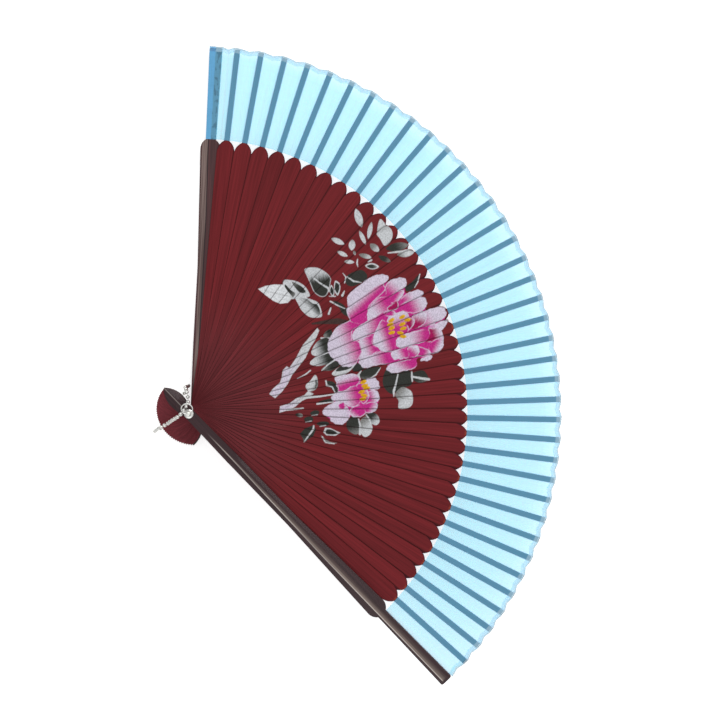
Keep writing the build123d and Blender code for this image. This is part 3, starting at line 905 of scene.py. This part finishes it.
LOW_LEAF = [
    (-47.2, 66.9), (-46.2, 70.6), (-43.9, 74), (-40.6, 76.5), (-36.7, 77.4), (-34.8, 76.8), (-36, 73.3),
    (-37.2, 71), (-36.4, 69), (-38, 67), (-42, 66),
]
TWIN_LEAF = [
    (-37.4, 69.9), (-37, 73.3), (-34, 76.3), (-30.7, 79.8), (-27.3, 80.3), (-23.1, 79.5), (-23.6, 76),
    (-25.3, 73.1), (-29.3, 70.8), (-33.3, 70.1),
]
POINTED_LEAF = [
    (-47.8, 53.2), (-47.9, 57.3), (-47, 62), (-45.3, 66.3), (-42, 67), (-37.3, 68.7), (-35.7, 65.3),
    (-36.7, 61.3), (-39.3, 58.5), (-43.3, 55.8),
]


DARK_SHARE = 0.72         # how large a leaf's dark middle is


def dark_hearted(outline):
    """The marks of a light leaf with a dark middle."""
    middle = np.mean(outline, axis=0)
    inside = [tuple(mix(middle, np.array(point), DARK_SHARE)) for point in outline]
    return [(rounded(outline), LIGHT, LIGHT, 0), (rounded(inside), DARK, DARK, 0)]


def leaflets(middle, places):
    """The marks of small grey leaves at (x, y, reach, half, way), each lighter past its middle."""
    return [(almond(*place), GREY, LIGHT, place[-1], middle) for place in places]


def glossy_leaflet(x, y, reach, half, way):
    """The marks of a small dark leaf with a light streak to its right."""
    streak = [(x + 0.8, y - 1.9, 0.5), (x + 1.3, y + 1.0, 0.5)]
    return [(egg(x, y, reach, half, way), DARK, DARK, way), (streak, LIGHT, 0.7)]


# The leaves to the left of the large flower and under it.
LEFT_LEAVES = [
    (rounded([(-26, 133.8), (-22.5, 131.5), (-20, 128.5), (-19.8, 124.8), (-22.4, 125), (-23.6, 129)]),
     DARK, DARK, 0),
    ([(-25.8, 134, 0.5), (-22.4, 131.6, 0.6), (-20.4, 129.2, 0.3)], LIGHT),
    (rounded([(-38.6, 106), (-36, 108.4), (-33.3, 108), (-32.3, 104.5), (-32, 99.5), (-34.5, 96.9),
     (-38.2, 99)]), DARK, DARK, 0),
    ([(-32.2, 104.6, 0.3), (-34.3, 101, 0.9), (-37.6, 98.6, 0.5)], LIGHT),
    ([(-40, 97.2, 0.3), (-37.6, 98, 0.6), (-35, 96.3, 0.5)], LIGHT),
    *dark_hearted([(-37.8, 92.3), (-35.8, 93.8), (-33, 93.2), (-30.2, 90.8), (-33, 90), (-36, 90.9)]),
    *dark_hearted([(-36.5, 89.6), (-32.5, 89.8), (-30.6, 88.2), (-34, 87.6)]),
    ([(-31.2, 94.8, 0.5), (-29.4, 93, 1.2)], LIGHT),
    ([(-30.3, 89.5, 0.6), (-31.4, 86.5, 0.4)], LIGHT),
    (rounded([(-28.6, 87.6), (-25.5, 91.4), (-22, 92.6), (-18.4, 92), (-21, 89.8), (-24.2, 89.3)]), DARK,
     DARK, 0),
    ([(-22.6, 92, 0.4), (-25.5, 89, 0.6), (-28.8, 86.2, 0.8)], LIGHT),
    ([(-25.4, 85.2, 0.8), (-23, 83.2, 1.0)], LIGHT),
    ([(-16.4, 90, 1.8), (-18, 86, 3.2), (-19.4, 81, 2.2), (-21.2, 73.5, 0.8)], DARK, 0.8),
    (rounded(LEFT_LEAF), LIGHT, DARK, -8, -0.3, 0.35, LIGHT),
    ([(-43.1, 82.2, 0.9), (-39.5, 84.3, 0.7), (-35.6, 87.4, 1.0), (-33.6, 87.2, 0.5)], LIGHT),
    (rounded(LOW_LEAF), LIGHT, LIGHT, 0),
    (rounded([(-45.2, 70.9), (-42.8, 73.5), (-40.4, 75.3), (-37.6, 75.9), (-38.3, 73.2), (-41.2, 71.7)]),
     DARK, GREY, 200, 0.5),
    (rounded([(-45, 67.2), (-41.7, 68.8), (-38.9, 70.4), (-37.3, 68.3), (-39.5, 67), (-42.3, 66.3)]), DARK,
     GREY, 20, 0.7),
    (rounded(TWIN_LEAF), LIGHT, LIGHT, 0),
    (rounded([(-36.3, 71.6), (-34, 75.2), (-30.9, 77.3), (-29.6, 79.2), (-26.7, 79.6), (-24.6, 78.7),
     (-25.3, 76.8), (-29.3, 75), (-33.3, 72.5)]), DARK, LIGHT, -70, 0.2, 0.9),
    ([(-35, 71.8, 0.3), (-32.3, 74.3, 0.5), (-29.8, 77, 0.3)], GREY, 0.6),
    (POINTED_LEAF, WHITE, GREY, 70, 1.0, 0.5),
    ([(-46, 56, 0.3), (-42.4, 61, 0.4), (-39, 66.5, 0.3)], GREY, 0.5),
]
SEPALS = [
    (rounded([(-15.2, 81.5), (-12.6, 81.4), (-11.4, 78.6), (-13.4, 76.8), (-15.2, 79)]), DARK, GREY, -90,
     0.3),
    ([(-11.2, 79.4, 0.5), (-12.6, 75.4, 0.9)], LIGHT),
    (rounded([(-12, 78), (-9, 78.6), (-5, 76.8), (-4.9, 70), (-7.6, 68), (-11.6, 72.6)]), DARK, LIGHT, -90,
     0.15),
    (rounded([(-4, 76.6), (-0.3, 78.2), (1, 74), (0, 68.6), (-2.4, 65.4), (-4.3, 69)]), DARK, LIGHT, -90,
     0.1),
    (rounded([(1, 79.6), (3, 80.2), (4.6, 77), (4.6, 74), (2.6, 70), (1, 74)]), DARK, GREY, -90, 0.5),
    ([(-4.6, 77.4, 0.7), (-4.5, 69.5, 0.6), (-3, 66, 0.4)], LIGHT),
    ([(0.2, 78.6, 0.6), (1.2, 74, 0.7), (3, 70, 0.4)], LIGHT),
]
# The small leaves at the upper left.
SPRIG = [
    *leaflets(-0.8, [(-63.8, 114.6, 5.0, 1.9, 178), (-55.8, 117.8, 4.4, 1.2, -32),
     (-53.7, 113, 3.9, 1.1, 5), (-52, 106.6, 2.8, 1.7, -25), (-56.4, 100.4, 3.7, 1.4, 45),
     (-49.5, 100.4, 3, 1.1, 45), (-44.4, 102.3, 2.6, 1, 65)]),
    (rounded([(-59.4, 124.7), (-55, 126.3), (-53.7, 123.3), (-54.2, 121.2)]), LIGHT, GREY, 0, 0.8),
    (rounded([(-54.9, 126.9), (-51.7, 128.3), (-48.4, 127.3), (-46, 124.4), (-46, 122), (-49.5, 121.3),
     (-53.1, 120.5), (-54.4, 123.9)]), GREY, LIGHT, 0, -0.9),
    *leaflets(0.2, [(-46.7, 117, 3, 1.7, 30), (-44.3, 111, 3.4, 1.2, 55), (-47.8, 106.4, 1.2, 0.7, 0)]),
    (almond(-38.4, 131, 4.5, 1.9, 80), LIGHT, GREY, -90, 0.4),
    (almond(-43, 128, 6, 2.2, 80), DARK, GREY, 90, 0.4),
    ([(-41.7, 122.5, 0.5), (-40.6, 127, 1.0), (-39.5, 132, 0.5)], LIGHT),
    (almond(-39.5, 119.8, 3.5, 1.4, 45), DARK, GREY, 45, 0.6),
    (almond(-38.2, 112.5, 3.6, 1.6, 65), LIGHT, LIGHT, 0),
    (almond(-38.1, 112.4, 2.7, 1.0, 65), DARK, GREY, 65, 0.6),
    ([(-41.2, 113.4, 0.8), (-41.0, 111.6, 0.8)], LIGHT),
    ([(-44.2, 106.8, 0.5), (-42.4, 105.8, 0.9), (-40.6, 105.6, 0.4)], LIGHT),
]
# The small leaves under the lower flower.
LOW_SPRIG = [
    (rounded([(3.9, 66), (6.7, 66.4), (10, 65.1), (11.2, 62.7), (10.3, 59.9), (7.3, 59.6), (5.8, 62.7)]),
     LIGHT, GREY, 40, 0.5),
    ([(6.8, 65.4, 0.9), (8.4, 65.2, 1.2), (10, 63.8, 0.6)], DARK, 0.75),
    ([(6.7, 63, 0.8), (9.8, 61.8, 0.7)], LIGHT),
    (rounded([(8.8, 70.4), (11, 74), (15.8, 74.2), (16.3, 72.6), (13, 71.4), (10.5, 69.8)]), DARK, DARK, 0),
    ([(8.6, 70.2, 0.7), (11, 69.8, 0.8), (12.6, 72.2, 0.6), (16.2, 72.6, 0.4)], LIGHT),
    ([(30.8, 61.8), (32, 64.2), (36, 68.2), (36.5, 65.3), (34.7, 61.1), (32.7, 60.1)], LIGHT, LIGHT, 0),
    (rounded([(32, 62.2), (33, 64.6), (35.6, 66.6), (35.4, 64), (33.8, 61.2)]), DARK, DARK, 0),
    ([(34, 58.5, 0.4), (37.3, 59.6, 1.5), (39, 61.6, 1.1), (40.2, 64.6, 0.3)], GREY),
    ([(34.6, 58.9, 0.5), (38, 59.4, 0.4), (40.1, 63.4, 0.4)], LIGHT),
    ([(27.6, 56.3), (30, 57.2), (32.7, 54.7), (34.2, 49.1), (32, 49.2), (29.3, 48.6), (27.6, 52)], DARK,
     GREY, -40, 0.9),
    ([(28, 56.6, 0.7), (29.6, 55.7, 1.0), (33.8, 49.4, 0.5)], LIGHT),
    *glossy_leaflet(22, 59.3, 2.4, 1.3, 80),
    *glossy_leaflet(24, 55.3, 2.4, 1.5, 70),
    *glossy_leaflet(28.6, 61.4, 3.2, 1.2, 70),
    (egg(20.3, 51.4, 2.0, 1.0, 60), DARK, GREY, 60, 0),
]

# Petals from the outermost in: outline, direction of the fade, where on it, and the colour it starts from.
LARGE_FLOWER = [
    ([(-30.8, 118.4), (-28.6, 117.5), (-27.4, 112.5), (-26.4, 106.2), (-24.6, 100), (-23.3, 94.4),
     (-27.4, 95), (-29.9, 98.8), (-32, 105), (-33.2, 110), (-32.8, 115)], 180, -1.4, PINK),
    ([(-28, 114.7), (-24.9, 114.9), (-23.3, 112.5), (-21.4, 108.1), (-18.9, 103.8), (-15.8, 101.9),
     (-12.7, 96.9), (-14.6, 92.8), (-18.3, 92.2), (-22, 92.5), (-23.6, 95.5), (-25.2, 101.2),
     (-26.8, 106.2), (-28, 111.2)], 205, 0.35, MAGENTA),
    ([(-27.4, 125), (-25.5, 126.4), (-23.3, 125.9), (-22, 123.8), (-21.4, 120), (-20, 116.2),
     (-21.2, 113.6), (-23.6, 114.6), (-25.5, 115), (-27.6, 116.9), (-28.2, 120.6)], 118, -0.25, MAGENTA),
    ([(-21.4, 123.3), (-18.9, 122.5), (-17, 119.4), (-16.2, 116.9), (-17.7, 114.8), (-20.2, 115.3),
     (-21.4, 118.8)], 40, 0.3, MAGENTA),
    ([(-18.9, 125), (-18.8, 130), (-17, 132.4), (-15.2, 131.6), (-14.5, 127.5), (-14.8, 123.1),
     (-14.6, 119.4), (-16.4, 119.4), (-18.2, 121.9)], 95, -0.3, MAGENTA),
    ([(-14.7, 130.6), (-12.7, 132.5), (-10.2, 132), (-8.3, 129.4), (-7.9, 126.2), (-8.9, 122.5),
     (-10.8, 120), (-13.3, 118.2), (-14.7, 119.4), (-15, 125)], 92, 0.1, MAGENTA),
    ([(-7.5, 131.2), (-6.8, 137.5), (-5.2, 139.8), (-2, 139.6), (-0.2, 136.2), (0.4, 131.2), (-0.2, 126.2),
     (-1.1, 123.8), (-4.6, 125), (-7, 126.9)], 105, -0.4, MAGENTA),
    ([(0.6, 138.8), (2.9, 137.7), (4.5, 135), (4.9, 133.1), (2.6, 131.9), (1.5, 128.8), (0.6, 130)], 80,
     -0.6, PINK),
    ([(2.6, 131.9), (4.2, 134), (6.7, 134.5), (8.6, 133.6), (8.9, 130), (8.6, 126.9), (7.3, 125.1),
     (5.4, 126.9), (3.6, 128.1), (1.8, 128.8)], 88, 0.35, DEEP),
    ([(8.3, 133.8), (11.1, 133.3), (13.3, 131.8), (14.8, 128.1), (13.9, 125.1), (11.7, 125), (9.8, 125.4),
     (8.5, 127.5)], 45, 0.1, MAGENTA),
    ([(15, 125.3), (16.5, 125), (17.1, 123.1), (16.4, 121.2), (15.8, 119.2), (14.7, 120.6)], 0, -1.5, PINK),
    ([(8.1, 120.6), (9.8, 122.5), (12.3, 125.1), (14.2, 125), (14.7, 122.5), (13.6, 120), (12.9, 117.8),
     (11.1, 119.4), (9.2, 119.8)], 50, 0.45, MAGENTA),
    ([(12.9, 113.1), (13.6, 115.8), (15.4, 117.1), (17.6, 116), (18.3, 113.1), (17.6, 109.4), (17.3, 105.6),
     (16.1, 102.9), (13.9, 101.4), (12.2, 103.1), (11.9, 106.2), (12.3, 110)], -62, -0.1, MAGENTA),
    ([(7.8, 120.2), (10.4, 120.5), (12.3, 118.8), (13, 116.2), (11.7, 114.5), (9.8, 114.4), (7.8, 115),
     (6.9, 117)], 120, 0, MAGENTA),
    ([(6.3, 112.5), (7.3, 114.5), (9.8, 114.9), (12, 113.8), (11.7, 111.2), (11.1, 108.8), (10.4, 106.7),
     (7.9, 106), (6.3, 107.5)], -85, -0.2, MAGENTA),
    ([(4.4, 101.9), (5.4, 104.6), (7.9, 105.8), (11.2, 105), (11.5, 102.5), (10.4, 98.8), (9.9, 95),
     (9.5, 91.2), (7.3, 89.5), (4.8, 89.8), (4.1, 94.4), (3.8, 98.1)], -95, -0.3, MAGENTA),
    ([(-20.5, 115.2), (-17, 115.5), (-14.6, 113.8), (-13.3, 110), (-12.6, 106.2), (-11.5, 100.8),
     (-15.8, 101.7), (-18.9, 103.8), (-21.2, 107.5), (-21.8, 111.5)], -75, -0.2, MAGENTA),
    ([(-16.8, 118.6), (-13.9, 117.8), (-13.1, 115), (-13.9, 112.3), (-15.5, 112.3), (-16.5, 115)], 0, 0.9,
     DEEP),
    ([(-13.9, 109.4), (-12, 110.2), (-9.6, 109), (-7, 105.6), (-5.7, 102.5), (-5.7, 98.1), (-4.9, 95),
     (-5.5, 90.8), (-7, 90.3), (-9.6, 91.7), (-11.5, 95), (-12.8, 100), (-13.4, 105)], -105, -0.2, MAGENTA),
    ([(-10.8, 120), (-7, 121.6), (-3, 120), (0.5, 117), (0.8, 112), (-2, 109.3), (-7, 109.3),
     (-10.9, 111.3), (-11.5, 116)], 175, 0.2, MAGENTA),
    ([(-13.6, 114.4), (-12, 115.5), (-10.7, 114.4), (-11, 111.9), (-12.4, 109.8), (-13.4, 111.2)], 60, 0.6,
     MAGENTA),
    ([(-7.5, 129.4), (-5.2, 130.2), (-2.7, 129.1), (-1, 126.9), (-0.4, 123.8), (-1, 120.4), (-3.3, 122.3),
     (-4.6, 123), (-7, 123), (-7.7, 126.2)], 140, 0.1, DEEP),
    ([(-6.5, 120.6), (-6.2, 122.6), (-4.6, 123.3), (-2.7, 122), (-1.2, 119.2), (-3.3, 118.6),
     (-5.2, 118.6)], 70, 0.5, DEEP),
    ([(1, 125), (2, 127.6), (4.2, 128.4), (6.1, 127), (7.4, 124.4), (7, 120), (6.8, 115.6), (6.2, 111.9),
     (4.2, 110.3), (1.6, 111.1), (0.3, 113.8), (0.3, 118.8)], 255, -0.35, MAGENTA),
    ([(-10.6, 107.5), (-8.3, 110.2), (-4.6, 109.5), (0.4, 110.2), (5.4, 109.5), (6.3, 106.2), (4.2, 102.3),
     (1.7, 100.8), (-0.5, 99.5), (-3.9, 100.5), (-5.8, 102.3), (-8.3, 104.8)], -90, -0.25, MAGENTA),
    ([(-4.8, 100.6), (-0.8, 99.2), (2.9, 101.4), (4.3, 98.1), (4.5, 94.4), (4.6, 89.8), (1.1, 92.3),
     (-2, 92.8), (-4.6, 92.3), (-5, 95), (-5.6, 97.5)], -90, -0.2, MAGENTA),
    ([(-15.9, 91.9), (-14.6, 94), (-12, 95.8), (-10.8, 91.9), (-6.4, 90), (-4.6, 92.7), (1.1, 92.4),
     (4.2, 89.6), (6.2, 86.9), (5.8, 83.1), (4.2, 80.4), (1.7, 79.2), (-0.8, 77.3), (-4.6, 76.4),
     (-8.3, 77.3), (-10.8, 79.2), (-12.2, 80.6), (-14.8, 83.8), (-15.8, 87.5)], -90, -0.25, MAGENTA),
]
LARGE_STAMENS = [
    (-8.5, 118, 100), (-6.2, 120, 80), (-5, 116.8, 95), (-2.8, 116.5, 85), (-1.2, 114.3, 60), (1, 115, 70),
    (-8.8, 112.3, 100), (-7, 111, 85), (-5, 111, 95), (-2.8, 110.2, 85),
]
SMALL_FLOWER = [
    ([(15, 91.9), (16.1, 94.6), (19.5, 95.2), (21.7, 94.4), (21.1, 90.6), (19.8, 88.6), (16.7, 88.2),
     (15.2, 89.4)], 90, -1.1, PINK),
    ([(21.7, 92.5), (24.2, 93.3), (26.7, 92.6), (27.7, 90), (27, 86), (23, 85.3), (21.2, 88.8)], 85, 0.1,
     MAGENTA),
    ([(27.6, 90.4), (29.8, 90.8), (31.9, 88.4), (31.5, 85), (29.8, 82.6), (26.7, 83.6), (26.4, 86.9)], 40,
     0.3, MAGENTA),
    ([(21, 75.2), (24.2, 75.8), (27.9, 76.4), (30.4, 75.2), (32.2, 71.9), (31.8, 68.8), (29.2, 66),
     (26.7, 65.5), (24.2, 63.2), (21.6, 64.2), (20.6, 68.8), (19.7, 72.5)], -90, -1.2, PINK),
    ([(21.8, 74.5), (24.2, 75.4), (25.6, 73.4), (24.4, 71.4), (22, 72)], -60, 0.6, MAGENTA),
    ([(26.1, 82.5), (28.5, 84), (31.2, 83.9), (31.9, 80.6), (30.4, 76.7), (27.9, 76), (26, 78.1)], -60,
     0.55, MAGENTA),
    ([(8.7, 75.4), (9.2, 81.2), (10.4, 85.1), (12.9, 86.8), (15.4, 85.8), (16.8, 81.9), (16.5, 77.5),
     (16.8, 74.8), (14.2, 74.5), (11.1, 74.8)], 180, 0, MAGENTA),
    ([(15.6, 85.5), (16.6, 88.2), (20, 88.6), (24, 88.2), (26.2, 85), (24, 83), (18, 82.5)], 90, 0.6,
     MAGENTA),
    ([(16.4, 83.9), (19.2, 85.2), (22.9, 84.6), (25.5, 82.5), (26.2, 79.4), (24.2, 76), (20.5, 74.2),
     (19.5, 70.4), (17.3, 69.8), (16, 73.8), (16.6, 78.1), (15.7, 81.2)], -95, -0.3, MAGENTA),
]
SMALL_STAMENS = [
    (15.8, 88, 95), (17.8, 88, 85), (19.3, 88.5, 80), (20.2, 85.5, 90), (22.3, 86, 60), (23.8, 84.8, 80),
]
STAMEN_HALF = (1.75, 0.9)
PETAL_RUFFLE = 0.16
# What shows between the petals.
LARGE_HEART = [
    (-32.3, 112), (-30.6, 117.3), (-28, 117), (-27, 123.5), (-24.5, 125), (-19.2, 124), (-18.3, 129.5),
    (-16.5, 131.5), (-14, 130.5), (-10.5, 131.5), (-7.4, 131), (-6, 137.5), (-2, 139), (0.5, 137.3),
    (4, 134), (9, 133), (12.5, 131.5), (14.2, 128), (14.3, 124.5), (16, 122.5), (14, 118.5), (17, 115.5),
    (17.5, 112), (16.4, 105), (14, 102), (11.2, 102.3), (9.8, 96), (8.8, 91), (5, 88), (5, 82), (-1, 78),
    (-8, 78), (-12, 81), (-15, 85), (-15.2, 91.8), (-22, 93.2), (-26, 96), (-30, 100), (-31.5, 106),
]
SMALL_HEART = [
    (9.3, 76), (9.5, 81), (10.8, 84.8), (13, 86.3), (15.4, 88), (16.3, 94), (19.5, 94.8), (21.7, 92.5),
    (26.5, 92.2), (29.8, 90.3), (31.5, 88), (31, 84.5), (31.5, 81), (30, 76), (31.7, 71.5), (31.2, 69),
    (29, 66.5), (24.5, 64), (22, 65), (20.5, 70), (17.5, 70.5), (16, 74.5), (11, 75.3),
]
HEART_RUFFLE = 0.2


def flower(heart, petals, stamens):
    """The marks of a flower: what shows between its petals, the petals, and the stamens."""
    marks = [(rounded(heart, HEART_RUFFLE), MAGENTA, MAGENTA, 0)]
    for outline, fade, middle, first in petals:
        marks.append((rounded(outline, PETAL_RUFFLE), first, PALE, fade, middle + 0.1, 0.55, PALE))
    for x, y, way in stamens:
        marks.append((egg(x, y, *STAMEN_HALF, way, waves=0.06), GOLD, PALE_GOLD, 120, 0.7))
    return marks


PAINTING = [
    *BRANCHES, *RIGHT_LEAVES, *LEFT_LEAVES, *SPRIG, *LOW_SPRIG, *SEPALS,
    *flower(SMALL_HEART, SMALL_FLOWER, SMALL_STAMENS), *flower(LARGE_HEART, LARGE_FLOWER, LARGE_STAMENS),
]


def paint_at(places):
    """The painting's colour and cover at places on the open fan."""
    canvas = Canvas(places)
    for points, *look in PAINTING:
        draw = canvas.stroke if len(points[0]) == 3 else canvas.area
        draw(points, *look)
    return canvas.color, canvas.cover


PAINT_STEP = 0.25
PAINT_START, PAINT_END = 36.0, 140.5
PAINT_LIFT = 0.015        # the paint's top over the wood
PAINT_UNDER = 0.4         # how far the paint reaches under the next rib
LEAST_COVER = 0.06
LEAST_CELL = 0.02         # cells of the film narrower than this are left out
PAINT_SHORT = 0.02        # the paint stops this short of a rib's edge


def half_width(along):
    """A rib's half width at places along it."""
    half = np.maximum(NECK_HALF + NECK_SLOPE * along, WAIST_HALF + BLADE_SLOPE * (along - WAIST_AT))
    past = np.clip(along - SHOULDER_START, 0, SHOULDER_R)
    return np.where(past > 0, BLADE_HALF - SHOULDER_R + np.sqrt(SHOULDER_R**2 - past**2), half)


def turned(places, degrees_):
    turn = radians(degrees_)
    rotation = np.array([[cos(turn), sin(turn)], [-sin(turn), cos(turn)]])
    return places @ rotation


def make_paint(index, material):
    """The film of paint on one rib, where the rib shows beside the next one."""
    along = np.arange(PAINT_START, PAINT_END, PAINT_STEP)
    left = np.arange(-BLADE_HALF - 2, BLADE_HALF + PAINT_STEP, PAINT_STEP)
    grid = np.stack(np.meshgrid(along, left, indexing="ij"), axis=-1).reshape(-1, 2)
    grid[:, 1] = np.minimum(grid[:, 1], half_width(grid[:, 0]) - PAINT_SHORT)
    gap = GAP_DEG[STICKS[index]]
    beside_next = turned(grid, gap)
    from_next = beside_next[:, 1] - half_width(beside_next[:, 0])
    from_edge = half_width(grid[:, 0]) - grid[:, 1]
    places = turned(grid, stick_direction(index))
    color, cover = paint_at(places)
    usable = (from_next > -PAINT_UNDER) & (grid[:, 0] < SHOULDER_END - 0.3)
    cover = np.where(usable, cover, 0)
    if cover.max() < 0.5:
        return
    color = mix(np.array(RIB_RED), color, cover[:, None])
    # Painted shade in the paint's colour: darker beside the next rib's edge and along this rib's own edge.
    shade = mix(0.45, 1.0, ease(from_next, 0.0, 0.8)) * mix(0.8, 1.0, ease(from_edge, 0.0, 0.3))
    color = color * shade[:, None]
    columns = len(left)
    shown = cover.reshape(len(along), columns)
    flat = from_edge.reshape(len(along), columns)
    faces = []
    used = {}
    for row in range(len(along) - 1):
        for column in range(columns - 1):
            thin = (flat[row:row + 2, column] - flat[row:row + 2, column + 1] < LEAST_CELL).any()
            if thin or shown[row:row + 2, column:column + 2].max() < LEAST_COVER:
                continue
            corner = row * columns + column
            face = (corner, corner + columns, corner + columns + 1, corner + 1)
            faces.append(tuple(used.setdefault(number, len(used)) for number in face))
    kept = np.array(list(used))
    top = stick_bottom(index) + RIB_THICK + PAINT_LIFT
    points = np.column_stack([places[kept], np.full(len(kept), top)]) * MM
    mesh = bpy.data.meshes.new(f"paint_{index:02d}")
    mesh.from_pydata(points.tolist(), [], faces)
    layer = mesh.color_attributes.new("paint", "FLOAT_COLOR", "POINT")
    layer.data.foreach_set("color", np.column_stack([color[kept], np.ones(len(kept))]).ravel())
    mesh.materials.append(material)
    mesh.update()
    film = new_object(mesh.name, mesh)
    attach(film, STICKS[index])


def paint_material():
    """Matt poster paint in the film's own colours, with a fine speckle."""
    nodes = Nodes("paint")
    color = nodes.node("VertexColor", {}, layer_name="paint").outputs[0]
    place = nodes.object_place()
    speckle = nodes.node("TexNoise", {"Vector": place, "Scale": 1500.0, "Detail": 4.0}).outputs[0]
    color = nodes.blend(1.0, color, nodes.smooth(speckle, 0.32, 0.68, 0.78, 1.1), "MULTIPLY")
    nodes.bump(speckle, 0.02, 0.4)
    return nodes.finish(color, 0.6, Specular_IOR_Level=0.12)


# ---------------------------------------------------------------- all together

BRIGHT = steel("steel", 0.3, (224, 224, 220))
RIVET_BRIGHT = steel("steel_rivet", 0.42, (246, 248, 240))
CHAIN_BRIGHT = steel("chain_steel", 0.3, (214, 214, 210))
SILK = silk("silk", (0.04, 0.74, 1.0), 0.46)
# The crease silk is denser, and darker as painted shade in the folds where a panel climbs a slip.
SHADED_CREASE_SILK = silk("silk_crease", (0.05, 0.6, 0.95), 0.55)
GLUED_SILK = silk("silk_glued", (0.14, 0.47, 0.7), 0.6)
HEM_SILK = silk("silk_hem", (0.2, 0.58, 0.86), 0.3)
GLUED_HEM_SILK = silk("silk_glued_hem", (0.48, 0.74, 0.89), 0.5)
SPOTTED_SILK = silk("silk_spotted", (0.17, 0.5, 0.74), 0.6, 0.35)
SIDE_SILK = silk("silk_side", (0.2, 0.6, 1.0), 0.56)
METAL_NODES = {
    "chain_connector": CHAIN_BRIGHT, "rivet": RIVET_BRIGHT,
    "ring": BRIGHT, "washer_front": BRIGHT, "washer_back": BRIGHT,
}


def finish_node(name, material):
    node = frame["nodes"][name]
    node.data.materials.clear()
    node.data.materials.append(material)


make_chain(CHAIN_BRIGHT)
for number in range(len(STICKS) - 1):
    make_gore(number, [SILK, GLUED_SILK if number else SPOTTED_SILK, SHADED_CREASE_SILK, HEM_SILK, GLUED_HEM_SILK])
make_side_hem(SIDE_SILK)
for number, name in enumerate(STICKS):
    finish_node(name, rib_wood(number) if name.startswith("rib") else guard_wood(number, 1 if number else -1))
for name, material in METAL_NODES.items():
    finish_node(name, material)
PAINT = paint_material()
for number in range(1, len(STICKS) - 1):
    make_paint(number, PAINT)
